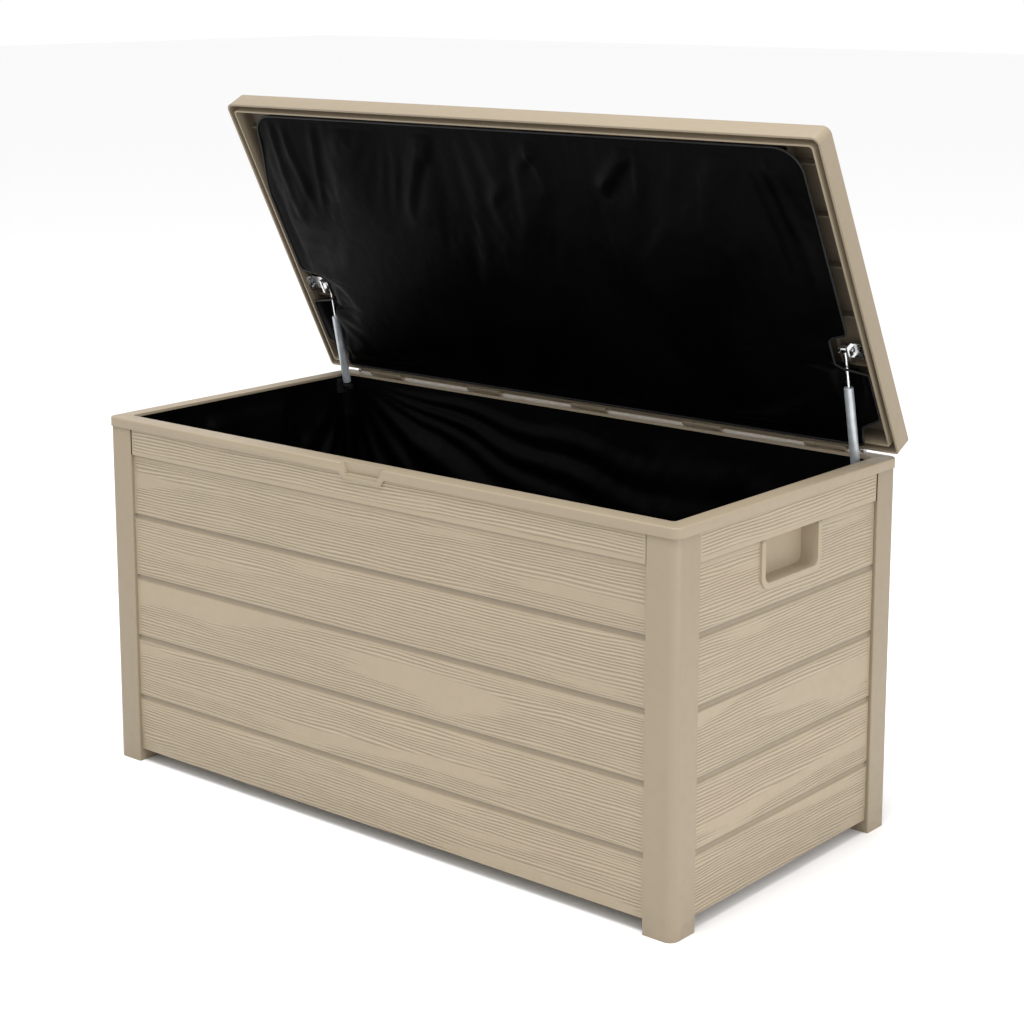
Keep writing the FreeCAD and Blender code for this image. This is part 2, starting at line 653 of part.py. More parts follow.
def strut_cylinder():
    """The pressure tube, with its crimped guide at the top."""
    low, _, along, _ = strut_frame()
    tube = rod(STRUT_R, CYLINDER_L, low + along * CYLINDER_START, along)
    ends = [e for e in tube.Edges if len(e.Vertexes) == 1 and e.Length < 2 * math.pi * STRUT_R + 1]
    tube = tube.makeFillet(1.2, ends)
    bore = rod(STRUT_BORE_R, CYLINDER_L - CYLINDER_CAP - GUIDE_L,
               low + along * (CYLINDER_START + CYLINDER_CAP), along)
    guide_hole = rod(STRUT_ROD_R + 0.08, GUIDE_L + 2,
                     low + along * (CYLINDER_START + CYLINDER_L - GUIDE_L - 1), along)
    return tube.cut(bore).cut(guide_hole)


def lower_eye():
    """The end fitting on the pressure tube, bored for the lower pivot pin."""
    low, _, along, _ = strut_frame()
    eye = rod(EYE_R, 2 * EYE_HALF, low - X_AXIS * EYE_HALF, X_AXIS)
    neck = rod(4.0, CYLINDER_START, low, along)
    bore = rod(PIN_R + 0.08, 2 * EYE_HALF + 2, low - X_AXIS * (EYE_HALF + 1), X_AXIS)
    return fused([eye, neck]).cut(bore)


def strut_rod():
    """The polished rod, with the piston inside the tube at its lower end."""
    low, _, along, length = strut_frame()
    piston_start = CYLINDER_START + CYLINDER_L - GUIDE_L - PISTON_L - 1
    piston = rod(PISTON_R, PISTON_L, low + along * piston_start, along)
    stem = rod(STRUT_ROD_R, length - EYE_R - 1 - piston_start, low + along * piston_start, along)
    return fused([piston, stem])


def upper_eye():
    _, top, along, _ = strut_frame()
    eye = rod(EYE_R, 2 * EYE_HALF, top - X_AXIS * EYE_HALF, X_AXIS)
    neck = rod(4.2, EYE_R + 6, top - along * (EYE_R + 7), along)
    stem_hole = rod(STRUT_ROD_R, 6.0, top - along * (EYE_R + 7), along)
    bore = rod(PIN_R, 2 * EYE_HALF + 2, top - X_AXIS * (EYE_HALF + 1), X_AXIS)
    return fused([eye, neck.cut(stem_hole)]).cut(bore)


def upper_pin():
    """The plain pin through the rod's eye and the lid bracket."""
    _, top, _, _ = strut_frame()
    return rod(PIN_R, UPPER_PIN_L, top - X_AXIS * (EYE_HALF + 4), X_AXIS)


def upper_r_clip():
    """The wire clip that locks the pin: two legs across the eye, joined by a loop."""
    _, top, along, _ = strut_frame()
    across = along.cross(X_AXIS)
    base = top - X_AXIS * (EYE_HALF + 2)
    legs = []
    for side in (-1, 1):
        start = base + along * (side * (PIN_R + 0.8)) - across * 9
        legs.append(rod(0.8, 18, start, across))
    bend = rod(0.8, 2 * (PIN_R + 0.8), base - along * (PIN_R + 0.8) + across * 9, along)
    return fused(legs + [bend])


def lower_bracket():
    """The plate on the rim's inner lip that carries the lower pivot pin."""
    low, _, _, _ = strut_frame()
    x1 = OPEN_X - LINER_GAP - LINER_T - 0.4
    x0 = x1 - BRACKET_T
    y, z = low.y, low.z
    plate = box(x0, x1, y - 15, y + 12, z - 14, z + 14)
    corners = [e for e in plate.Edges
               if abs(e.Vertexes[0].Point.y - e.Vertexes[-1].Point.y) < 0.01
               and abs(e.Vertexes[0].Point.z - e.Vertexes[-1].Point.z) < 0.01]
    plate = plate.makeFillet(4.0, corners)
    return plate


def lower_pin():
    """The pivot stud, headed inside the box, riveted into the bracket plate."""
    low, _, _, _ = strut_frame()
    x0 = OPEN_X - LINER_GAP - LINER_T - 0.4 - BRACKET_T
    start = V(STRUT_X - EYE_HALF - 3, low.y, low.z)
    shank = rod(PIN_R, x0 - start.x, start, X_AXIS)
    head = rod(5.0, 2.0, start - X_AXIS * 2, X_AXIS)
    return fused([shank, head])


def lower_bracket_screws():
    low, _, _, _ = strut_frame()
    x = OPEN_X - LINER_GAP - LINER_T - 0.4 - BRACKET_T
    seats = [V(x, low.y - 9, low.z + 9), V(x, low.y + 7, low.z + 9), V(x, low.y + 7, low.z - 9)]
    return [screw(seat, X_AXIS) for seat in seats]


def closed_strut_top():
    """Where the upper pivot is when the lid is closed."""
    point = Part.Vertex(V(0, STRUT_TOP[0], STRUT_TOP[1]))
    point.rotate(V(0, HINGE_Y, HINGE_Z), X_AXIS, LID_SWING)
    return point.Point.y, point.Point.z


def lid_bracket():
    """The bent plate inside the lid: a leaf on the skirt, a bridge and a slotted tab."""
    y, z = closed_strut_top()
    wall = LID_W / 2 - SKIRT_W
    tab_x = STRUT_X + EYE_HALF + 5
    roof = LID_TOP - LID_SKIN - LID_RIB_H - 1
    low = z - SLOT_BELOW - PIN_R - 3.5
    leaf = box(wall - BRACKET_T, wall, y - 16, y + 16, low, roof)
    bridge = box(tab_x, wall, y - 12, y + 14, roof - BRACKET_T, roof)
    tab = box(tab_x, tab_x + BRACKET_T, y - 12, y + 14, low, roof)
    slot = box(tab_x - 1, tab_x + BRACKET_T + 1, y - SLOT_FRONT - PIN_R,
               y + SLOT_REAR + PIN_R, z - SLOT_BELOW - PIN_R, z + SLOT_ABOVE + PIN_R)
    ends = [e for e in slot.Edges
            if abs(e.Vertexes[0].Point.y - e.Vertexes[-1].Point.y) < 0.01
            and abs(e.Vertexes[0].Point.z - e.Vertexes[-1].Point.z) < 0.01]
    slot = slot.makeFillet(2.0, ends)
    return opened(fused([leaf, bridge, tab]).cut(slot))


def lid_bracket_screws():
    y, z = closed_strut_top()
    wall = LID_W / 2 - SKIRT_W
    seats = [V(wall - BRACKET_T, y + side * 10, z - 2) for side in (-1, 1)]
    return [opened(screw(seat, X_AXIS)) for seat in seats]


# ---- writing the pieces -------------------------------------------------------------
def write(node, shape):
    solids = shape if isinstance(shape, list) else [shape]
    flat = [solid for item in solids for solid in item.Solids]
    for solid in flat:
        if not solid.isValid() or solid.Volume <= 0:
            raise ValueError("bad solid in " + node)
    out = flat[0] if len(flat) == 1 else Part.makeCompound(flat)
    out.exportStep("parts/" + node + ".step")
    print(node, len(flat), round(sum(s.Volume for s in flat) / 1000, 2), "cm3")


def main():
    os.makedirs("parts", exist_ok=True)

    screws = panel_screws()
    drill = Part.makeCompound(screws)
    front_right = corner_post(drill)
    write("corner_post_front_right", post_at(front_right, left=False, rear=False))
    write("corner_post_front_left", post_at(front_right, left=True, rear=False))
    write("corner_post_rear_right", post_at(front_right, left=False, rear=True))
    write("corner_post_rear_left", post_at(front_right, left=True, rear=True))

    long_panel = plank_panel(BOX_W, POST_FRONT_W, Y0).cut(drill)
    side = side_panel()
    write("front_panel", long_panel.cut(scoop_room()))
    write("rear_panel", mirrored_y(long_panel))
    write("right_panel", turned_to_side(side, right=True).cut(drill))
    write("left_panel", turned_to_side(side, right=False).cut(drill))
    write("panel_screws", screws)

    hinge_foot_screws = box_hinge_screws()
    foot_drill = Part.makeCompound(hinge_foot_screws)
    strut_screws = lower_bracket_screws()
    strut_screws += [mirrored_x(s) for s in strut_screws]
    strut_drill = Part.makeCompound(strut_screws)
    write("top_rim", top_rim().cut(foot_drill).cut(strut_drill))
    write("floor_panel", floor_panel())

    write("inner_liner", inner_liner().cut(strut_drill))
    write("liner_hook_strip", liner_hook_strip().cut(strut_drill))

    write("rim_hinge_knuckles", [box_hinge_knuckle(x).cut(foot_drill) for x in HINGE_STATIONS])
    write("rim_hinge_screws", hinge_foot_screws)
    leaf_screws = lid_hinge_screws()
    leaf_drill = Part.makeCompound(leaf_screws)
    write("lid_hinge_knuckles", [lid_hinge_knuckle(x).cut(leaf_drill) for x in HINGE_STATIONS])
    write("lid_hinge_screws", leaf_screws)
    write("hinge_rod", hinge_rod())
    write("hinge_rod_caps", hinge_rod_caps())

    lid_strut_screws = lid_bracket_screws()
    lid_strut_screws += [mirrored_x(s) for s in lid_strut_screws]
    lid_strut_drill = Part.makeCompound(lid_strut_screws)
    tube_screws = lid_tube_screws()
    shell = lid_shell().cut(leaf_drill).cut(lid_strut_drill)
    write("lid_shell", shell.cut(Part.makeCompound(tube_screws)))
    write("lid_reinforcing_tubes", lid_tubes())
    write("lid_tube_screws", tube_screws)
    write("lid_cover", lid_cover())
    write("lid_cover_piping", lid_cover_piping())

    bracket = lid_bracket().cut(lid_strut_drill)
    plate = lower_bracket().cut(strut_drill)
    pieces = {
        "strut_cylinder": strut_cylinder(),
        "strut_lower_eye": lower_eye(),
        "strut_rod": strut_rod(),
        "strut_upper_eye": upper_eye(),
        "strut_upper_pin": upper_pin(),
        "strut_r_clip": upper_r_clip(),
        "lower_strut_bracket": plate,
        "lower_strut_pin": lower_pin(),
        "lid_strut_bracket": bracket,
    }
    for name, shape in pieces.items():
        write(name + "_right", shape)
        write(name + "_left", mirrored_x(shape))
    write("lower_bracket_screws", strut_screws)
    write("lid_bracket_screws", lid_strut_screws)


main()
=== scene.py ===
import bmesh
import bpy
import json
import math
from mathutils import Matrix, Vector, noise


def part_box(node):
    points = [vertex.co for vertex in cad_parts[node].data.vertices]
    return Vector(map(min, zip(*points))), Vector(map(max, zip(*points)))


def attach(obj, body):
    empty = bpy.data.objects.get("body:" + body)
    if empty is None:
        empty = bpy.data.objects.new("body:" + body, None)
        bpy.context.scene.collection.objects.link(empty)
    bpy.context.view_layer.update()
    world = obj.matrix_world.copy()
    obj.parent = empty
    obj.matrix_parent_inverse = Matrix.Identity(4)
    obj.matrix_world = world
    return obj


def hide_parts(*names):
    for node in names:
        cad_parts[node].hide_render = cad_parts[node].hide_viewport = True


# The storage bench's looks: moulded resin with embossed wood grain, a hanging black liner,
# a gathered black cover under the lid, and the gas struts. Metres, in the CAD's frame.

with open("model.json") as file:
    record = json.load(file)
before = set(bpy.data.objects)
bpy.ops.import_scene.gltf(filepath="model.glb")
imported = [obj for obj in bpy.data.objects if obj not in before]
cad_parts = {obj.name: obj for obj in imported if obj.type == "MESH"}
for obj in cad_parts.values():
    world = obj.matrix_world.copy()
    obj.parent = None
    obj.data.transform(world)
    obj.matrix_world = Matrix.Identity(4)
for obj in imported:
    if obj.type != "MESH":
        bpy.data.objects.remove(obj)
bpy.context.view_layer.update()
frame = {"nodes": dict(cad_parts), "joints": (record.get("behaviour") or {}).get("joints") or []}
nodes = frame["nodes"]

# ---- places taken from the frame ----------------------------------------------------
lid_hinge = next(j for j in frame["joints"] if j["name"] == "lid_hinge")
HINGE = Vector(lid_hinge["pos_m"])
SWING = math.radians(lid_hinge["range_deg"][1])
OPEN_TURN = Matrix.Rotation(-SWING, 3, "X")
ALONG_LID = OPEN_TURN @ Vector((0, -1, 0))      # from the hinge to the lid's front edge
OUT_OF_LID = OPEN_TURN @ Vector((0, 0, 1))      # out of the seat face

RIM_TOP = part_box("top_rim")[1].z
POST_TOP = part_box("corner_post_front_right")[1].z
PANEL_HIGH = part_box("front_panel")[1]
SIDE_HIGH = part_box("right_panel")[1]
LINER_LOW, LINER_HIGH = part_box("inner_liner")

PLANK_PITCH = 0.108
TOP_PLANK_LOW = 0.549
LID_SEAT = RIM_TOP + 0.0003                     # underside of the closed lid
LID_FRONT_Y = -0.299
LID_REAR_Y = 0.270
LID_BORDER = 0.014
SKIRT_W = 0.016
LID_PITCH = (LID_REAR_Y - LID_FRONT_Y - 2 * LID_BORDER) / 5
FABRIC_CLEAR = 0.0006
POCKET_FRAME = 0.0815      # half length of the smooth frame round a handle pocket
POCKET_FOOT = 0.4715


def opened(x, y, z):
    """A point of the closed lid, turned to where it is with the lid open."""
    return HINGE + OPEN_TURN @ (Vector((x, y, z)) - HINGE)


def smooth(value, low, high):
    t = min(1.0, max(0.0, (value - low) / (high - low)))
    return t * t * (3 - 2 * t)


# ---- camera, floor and light --------------------------------------------------------
CAMERA_AT = Vector((2.294, -2.669, 1.365))
CAMERA_AZIMUTH = math.radians(39.98)
CAMERA_ELEVATION = math.radians(10.63)
LENS = 76.92
SHIFT_Y = -0.13


def make_camera():
    data = bpy.data.cameras.new("camera")
    data.lens = LENS
    data.sensor_width = 36.0
    data.shift_y = SHIFT_Y
    data.clip_end = 100
    camera = bpy.data.objects.new("camera", data)
    back = Vector((math.sin(CAMERA_AZIMUTH) * math.cos(CAMERA_ELEVATION),
                   -math.cos(CAMERA_AZIMUTH) * math.cos(CAMERA_ELEVATION),
                   math.sin(CAMERA_ELEVATION)))
    camera.location = CAMERA_AT
    camera.rotation_euler = back.to_track_quat("Z", "Y").to_euler()
    bpy.context.scene.collection.objects.link(camera)
    bpy.context.scene.camera = camera


def area_light(name, place, target, size, power):
    data = bpy.data.lights.new(name, "AREA")
    data.shape = "DISK"
    data.size = size
    data.energy = power
    light = bpy.data.objects.new(name, data)
    light.location = place
    light.rotation_euler = (Vector(place) - Vector(target)).to_track_quat("Z", "Y").to_euler()
    bpy.context.scene.collection.objects.link(light)


def make_stage():
    bpy.ops.mesh.primitive_plane_add(size=60, location=(0, 0, 0))
    floor = bpy.context.object
    floor.name = "floor"
    material = bpy.data.materials.new("floor")
    material.use_nodes = True
    shader = material.node_tree.nodes["Principled BSDF"]
    shader.inputs["Base Color"].default_value = (0.95, 0.95, 0.95, 1)
    shader.inputs["Roughness"].default_value = 0.9
    shader.inputs["Specular IOR Level"].default_value = 0.1
    floor.data.materials.append(material)
    world = bpy.data.worlds.new("studio")
    world.use_nodes = True
    world.node_tree.nodes["Background"].inputs["Color"].default_value = (1, 1, 1, 1)
    world.node_tree.nodes["Background"].inputs["Strength"].default_value = 1.0
    bpy.context.scene.world = world
    area_light("overhead", (0.3, -1.0, 4.6), (0, 0, 0.6), 2.6, 165)
    area_light("right", (4.4, -0.9, 1.1), (0, 0, 0.3), 2.4, 52)
    bpy.context.scene.view_settings.view_transform = "Standard"


# ---- materials ----------------------------------------------------------------------
class Graph:
    """A material's node tree, with short calls for the nodes used here."""

    def __init__(self, name):
        self.material = bpy.data.materials.new(name)
        self.material.use_nodes = True
        self.tree = self.material.node_tree
        self.shader = self.tree.nodes["Principled BSDF"]
        self.place = self.node("ShaderNodeTexCoord").outputs["Object"]

    def node(self, kind, **settings):
        made = self.tree.nodes.new(kind)
        for key, value in settings.items():
            setattr(made, key, value)
        return made

    def put(self, socket, value):
        if isinstance(value, bpy.types.NodeSocket):
            self.tree.links.new(value, socket)
        else:
            socket.default_value = value

    def math(self, operation, *values):
        made = self.node("ShaderNodeMath", operation=operation)
        for socket, value in zip(made.inputs, values):
            self.put(socket, value)
        return made.outputs[0]

    def dot(self, vector, other):
        made = self.node("ShaderNodeVectorMath", operation="DOT_PRODUCT")
        self.put(made.inputs[0], vector)
        self.put(made.inputs[1], tuple(other))
        return made.outputs["Value"]

    def combine(self, x, y, z):
        made = self.node("ShaderNodeCombineXYZ")
        for socket, value in zip(made.inputs, (x, y, z)):
            self.put(socket, value)
        return made.outputs[0]

    def noise(self, vector, scale, detail=2.0, roughness=0.5):
        made = self.node("ShaderNodeTexNoise")
        self.put(made.inputs["Vector"], vector)
        made.inputs["Scale"].default_value = scale
        made.inputs["Detail"].default_value = detail
        made.inputs["Roughness"].default_value = roughness
        return made.outputs["Fac"]

    def ramp(self, value, low, high, first=0.0, last=1.0):
        made = self.node("ShaderNodeMapRange", interpolation_type="SMOOTHSTEP")
        for key, number in (("From Min", low), ("From Max", high),
                            ("To Min", first), ("To Max", last)):
            made.inputs[key].default_value = number
        self.put(made.inputs["Value"], value)
        return made.outputs["Result"]

    def mix(self, factor, first, second):
        made = self.node("ShaderNodeMix", data_type="RGBA")
        self.put(made.inputs["Factor"], factor)
        self.put(made.inputs[6], first)
        self.put(made.inputs[7], second)
        return made.outputs[2]

    def bump(self, height, distance, strength=1.0, after=None):
        made = self.node("ShaderNodeBump")
        made.inputs["Strength"].default_value = strength
        made.inputs["Distance"].default_value = distance
        self.put(made.inputs["Height"], height)
        if after is not None:
            self.put(made.inputs["Normal"], after)
        return made.outputs["Normal"]

    def finish(self, colour, roughness, normal, specular=0.5, metallic=0.0):
        self.put(self.shader.inputs["Base Color"], colour)
        self.put(self.shader.inputs["Roughness"], roughness)
        self.put(self.shader.inputs["Normal"], normal)
        self.shader.inputs["Specular IOR Level"].default_value = specular
        self.shader.inputs["Metallic"].default_value = metallic
        return self.material


RESIN = (0.331, 0.268, 0.186)
GRAIN_PITCH = 0.0050
GRAIN_DEPTH = 0.0009
GROOVE_HALF = 0.0055


def shade(colour, factor):
    return tuple(c * factor for c in colour) + (1.0,)


def resin_skin(graph, depth, tone):
    """The moulding's own colour drift, fine pebble and scuffs towards the floor."""
    resin = tuple(c * tone for c in RESIN)
    drift = graph.noise(graph.place, 2.3, 3.0)
    speck = graph.noise(graph.place, 60.0, 2.0)
    colour = graph.mix(graph.ramp(drift, 0.3, 0.7), shade(resin, 0.97), shade(resin, 1.03))
    colour = graph.mix(graph.ramp(speck, 0.35, 0.75, 0.0, 0.12), colour, shade(resin, 0.86))
    height = graph.dot(graph.place, (0, 0, 1))
    scuff = graph.math("MULTIPLY", graph.ramp(height, 0.0, 0.05, 0.4, 0.0),
                       graph.ramp(graph.noise(graph.place, 38.0, 4.0), 0.45, 0.7))
    colour = graph.mix(scuff, colour, shade(resin, 0.75))
    pebble = graph.noise(graph.place, 850.0, 2.0, 0.6)
    normal = graph.bump(pebble, depth)
    return colour, graph.ramp(speck, 0.3, 0.8, 0.46, 0.56), normal


def plain_resin(name, tone):
    graph = Graph(name)
    colour, roughness, normal = resin_skin(graph, 0.00008, tone)
    return graph.finish(colour, roughness, normal, specular=0.42)


def grain_strength(graph, u, v, seed, flow):
    """Strong grain towards the plank's edges, fading in long smooth lens shapes."""
    lens = graph.ramp(flow, 0.575, 0.66, 1.0, 0.04)
    streak = graph.noise(graph.combine(graph.math("MULTIPLY", u, 11.0),
                                       graph.math("MULTIPLY", v, 120.0), seed), 1.0, 2.0)
    return graph.math("MULTIPLY", lens, graph.ramp(streak, 0.3, 0.55, 0.55, 1.0))


def groove_shadow(graph, below, pitch, half):
    """Painted shade in each groove, darkest under the plank above it, and a painted shadow just
    under the top plank's step.
    """
    phase = graph.math("WRAP", below, pitch / 2, -pitch / 2)
    under = graph.ramp(phase, -half - 0.0006, -half + 0.0010, 0.0, 1.0)
    fade = graph.ramp(phase, -half + 0.0010, half + 0.001, 1.0, 0.12)
    line = graph.math("MULTIPLY", under, fade)
    past = graph.ramp(phase, half + 0.0002, half + 0.0012, 1.0, 0.0)
    inside = graph.math("MULTIPLY", line, past)
    first = graph.ramp(below, 0.02, 0.03)
    step = graph.math("MULTIPLY", graph.ramp(below, -0.0002, 0.0004),
                      graph.ramp(below, 0.0006, 0.006, 1.0, 0.0))
    return graph.math("ADD", graph.math("MULTIPLY", inside, first),
                      graph.math("MULTIPLY", step, 0.8))


def painted_cavity_shade(graph, u, v, half, low, high, outward, level):
    """One on the deep parts inside the lid, where shade is painted into the colour."""
    depth = graph.math("SUBTRACT", graph.dot(graph.place, outward), level)
    inside = graph.math("LESS_THAN", graph.math("ABSOLUTE", u), half)
    inside = graph.math("MULTIPLY", inside, graph.math("GREATER_THAN", v, low))
    inside = graph.math("MULTIPLY", inside, graph.math("LESS_THAN", v, high))
    under_skin = graph.math("LESS_THAN", depth, 0.0347)
    return graph.math("MULTIPLY", graph.math("MULTIPLY", inside, under_skin),
                      graph.ramp(depth, 0.004, 0.024, 0.0, 0.85))


def grained_resin(name, along, across, facing, start, pitch, reach, top=None, pocket=None,
                  tone=1.0, cavity_shade_bounds=None):
    """Resin with wood grain embossed on the faces that look along facing.

    along and across are directions on the face; planks repeat every pitch from start, with
    a smooth groove between them; the grain fades out at reach along the plank. top is
    the upper edge of the first plank. pocket is a smooth patch: half length, lower edge.
    The last argument holds the bounds of the lid's inside, where shade is painted into the
    colour.
    """
    graph = Graph(name)
    colour, roughness, skin = resin_skin(graph, 0.00007, tone)
    u = graph.dot(graph.place, along)
    v = graph.dot(graph.place, across)
    below = graph.math("SUBTRACT", start, v)
    plank = graph.math("FLOOR", graph.math("DIVIDE", below, pitch))
    seed = graph.math("MULTIPLY", plank, 3.71)
    flow = graph.noise(graph.combine(graph.math("MULTIPLY", u, 2.4),
                                     graph.math("MULTIPLY", v, 24.0), seed), 1.0, 1.0)
    wave = graph.noise(graph.combine(graph.math("MULTIPLY", u, 9.0),
                                     graph.math("MULTIPLY", v, 30.0), seed), 1.0, 1.0)
    lines = graph.math("DIVIDE", v, GRAIN_PITCH)
    bend = graph.math("ADD", graph.math("MULTIPLY", flow, 3.4), graph.math("MULTIPLY", wave, 0.9))
    phase = graph.math("MULTIPLY", graph.math("ADD", lines, bend), 2 * math.pi)
    ridge = graph.ramp(graph.math("SINE", phase), -0.95, 0.75)
    strength = grain_strength(graph, u, v, seed, flow)
    off_groove = graph.math("PINGPONG", below, pitch / 2)
    strength = graph.math("MULTIPLY", strength,
                          graph.ramp(off_groove, GROOVE_HALF + 0.0008, GROOVE_HALF + 0.003))
    strength = graph.math("MULTIPLY", strength,
                          graph.ramp(graph.math("ABSOLUTE", u), reach - 0.006, reach, 1.0, 0.0))
    if top is not None:
        strength = graph.math("MULTIPLY", strength,
                              graph.ramp(v, top - 0.005, top - 0.002, 1.0, 0.0))
    if pocket is not None:
        beside = graph.ramp(graph.math("ABSOLUTE", u), pocket[0], pocket[0] + 0.002)
        under = graph.ramp(v, pocket[1] - 0.002, pocket[1], 1.0, 0.0)
        over = graph.ramp(v, start + 0.001, start + 0.005)
        strength = graph.math("MULTIPLY", strength,
                              graph.math("MAXIMUM", beside, graph.math("MAXIMUM", under, over)))
    faces = graph.dot(graph.node("ShaderNodeTexCoord").outputs["Normal"], facing)
    front = graph.ramp(faces, 0.9, 0.97)
    strength = graph.math("MULTIPLY", strength, front)
    resin = tuple(c * tone for c in RESIN)
    # Painted light on the grain's crests and painted shade in its valleys, following the same
    # relief as the bump.
    grain_light_and_shade = graph.mix(ridge, shade(resin, 0.68), shade(resin, 1.22))
    colour = graph.mix(graph.math("MULTIPLY", strength, 0.85), colour, grain_light_and_shade)
    if top is not None:
        # Painted shade in the grooves and a painted shadow under the top plank's step, darkening
        # the colour.
        groove_shade = groove_shadow(graph, below, pitch, GROOVE_HALF)
        colour = graph.mix(graph.math("MULTIPLY", groove_shade, 0.62), colour, shade(resin, 0.35))
    if cavity_shade_bounds is not None:
        # Painted shade deep inside the lid, darker further in from its seat face.
        colour = graph.mix(painted_cavity_shade(graph, u, v, *cavity_shade_bounds), colour, shade(resin, 0.34))
    height = graph.math("MULTIPLY", ridge, strength)
    return graph.finish(colour, roughness, graph.bump(height, GRAIN_DEPTH, after=skin),
                        specular=0.42)


def black_fabric(name, colour, specular, weave):
    graph = Graph(name)
    drift = graph.noise(graph.place, 9.0, 3.0)
    tone = graph.mix(graph.ramp(drift, 0.3, 0.7), shade(colour, 0.75), shade(colour, 1.35))
    cross = graph.node("ShaderNodeTexVoronoi", distance="CHEBYCHEV")
    graph.put(cross.inputs["Vector"], graph.place)
    cross.inputs["Scale"].default_value = weave
    cross.inputs["Randomness"].default_value = 0.25
    crumple = graph.bump(graph.noise(graph.place, 34.0, 4.0, 0.6), 0.0012)
    normal = graph.bump(cross.outputs["Distance"], 0.00012, after=crumple)
    return graph.finish(tone, graph.ramp(drift, 0.3, 0.7, 0.40, 0.52), normal, specular)


def metal(name, colour, rough_low, rough_high, along, metallic=1.0, grain=900.0):
    """Drawn or plated metal: fine scratches round the axis given, and a cloudy gloss."""
    graph = Graph(name)
    stretched = graph.node("ShaderNodeVectorMath", operation="MULTIPLY")
    graph.put(stretched.inputs[0], graph.place)
    stretched.inputs[1].default_value = tuple(1.0 if a else 0.04 for a in along)
    lines = graph.noise(stretched.outputs[0], grain, 2.0)
    cloud = graph.noise(graph.place, 70.0, 2.0)
    tone = graph.mix(graph.ramp(cloud, 0.3, 0.7), shade(colour, 0.9), shade(colour, 1.06))
    return graph.finish(tone, graph.ramp(cloud, 0.3, 0.7, rough_low, rough_high),
                        graph.bump(lines, 0.00002), metallic=metallic)


# ---- resin pieces, with their edges softened ----------------------------------------
def softened(node, width, material, body):
    """A copy of a CAD piece with small rounds on its sharp edges; it stands for the piece."""
    mesh = nodes[node].data.copy()
    mesh.name = node + "_soft"
    mesh.materials.clear()
    mesh.materials.append(material)
    shape = bmesh.new()
    shape.from_mesh(mesh)
    bmesh.ops.remove_doubles(shape, verts=shape.verts, dist=0.00001)
    bmesh.ops.dissolve_limit(shape, angle_limit=math.radians(1.0), verts=shape.verts,
                             edges=shape.edges)
    shape.to_mesh(mesh)
    shape.free()
    piece = bpy.data.objects.new(node + "_moulding", mesh)
    bpy.context.scene.collection.objects.link(piece)
    rounds = piece.modifiers.new("rounds", "BEVEL")
    rounds.width = width
    rounds.segments = 2
    rounds.limit_method = "ANGLE"
    rounds.angle_limit = math.radians(35)
    rounds.use_clamp_overlap = True
    apply_modifiers(piece)
    for polygon in piece.data.polygons:
        polygon.use_smooth = True
    piece.data.set_sharp_from_angle(angle=math.radians(32))
    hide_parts(node)
    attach(piece, body)
    return piece


def apply_modifiers(piece):
    bpy.context.view_layer.update()
    ready = piece.evaluated_get(bpy.context.evaluated_depsgraph_get())
    mesh = bpy.data.meshes.new_from_object(ready)
    piece.modifiers.clear()
    piece.data = mesh


def paint(names, material):
    for name in names:
        for slot in nodes[name].material_slots:
            slot.material = material


def dress_resin():
    post_resin = plain_resin("resin_posts", 0.82)
    trim_resin = plain_resin("resin_trim", 0.90)
    reach_x = PANEL_HIGH.x - 0.0125
    reach_y = SIDE_HIGH.y - 0.0125
    for node, along, facing, reach, pocket in (
            ("front_panel", (1, 0, 0), (0, -1, 0), reach_x, None),
            ("rear_panel", (1, 0, 0), (0, 1, 0), reach_x, None),
            ("right_panel", (0, 1, 0), (1, 0, 0), reach_y, (POCKET_FRAME, POCKET_FOOT)),
            ("left_panel", (0, 1, 0), (-1, 0, 0), reach_y, (POCKET_FRAME, POCKET_FOOT))):
        grain = grained_resin("resin_" + node, along, (0, 0, 1), facing, TOP_PLANK_LOW,
                              PLANK_PITCH, reach, top=POST_TOP, pocket=pocket)
        softened(node, 0.0007, grain, "box")
    for corner in ("front_right", "front_left", "rear_right", "rear_left"):
        softened("corner_post_" + corner, 0.0010, post_resin, "box")
    softened("top_rim", 0.0009, trim_resin, "box")
    first_groove = ALONG_LID.dot(opened(0, LID_FRONT_Y + LID_BORDER, 0))
    lid_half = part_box("lid_shell")[1].x
    inside = (lid_half - SKIRT_W + 0.0005,
              ALONG_LID.dot(opened(0, LID_REAR_Y - SKIRT_W + 0.0005, LID_SEAT)),
              ALONG_LID.dot(opened(0, LID_FRONT_Y + SKIRT_W - 0.0005, LID_SEAT)),
              OUT_OF_LID, OUT_OF_LID.dot(opened(0, 0, LID_SEAT)))
    seat = grained_resin("resin_seat", (1, 0, 0), ALONG_LID, OUT_OF_LID, first_groove,
                         LID_PITCH, lid_half - LID_BORDER, tone=0.80, cavity_shade_bounds=inside)
    softened("lid_shell", 0.0009, seat, "lid")
    paint(["floor_panel", "rim_hinge_knuckles", "lid_hinge_knuckles"], trim_resin)


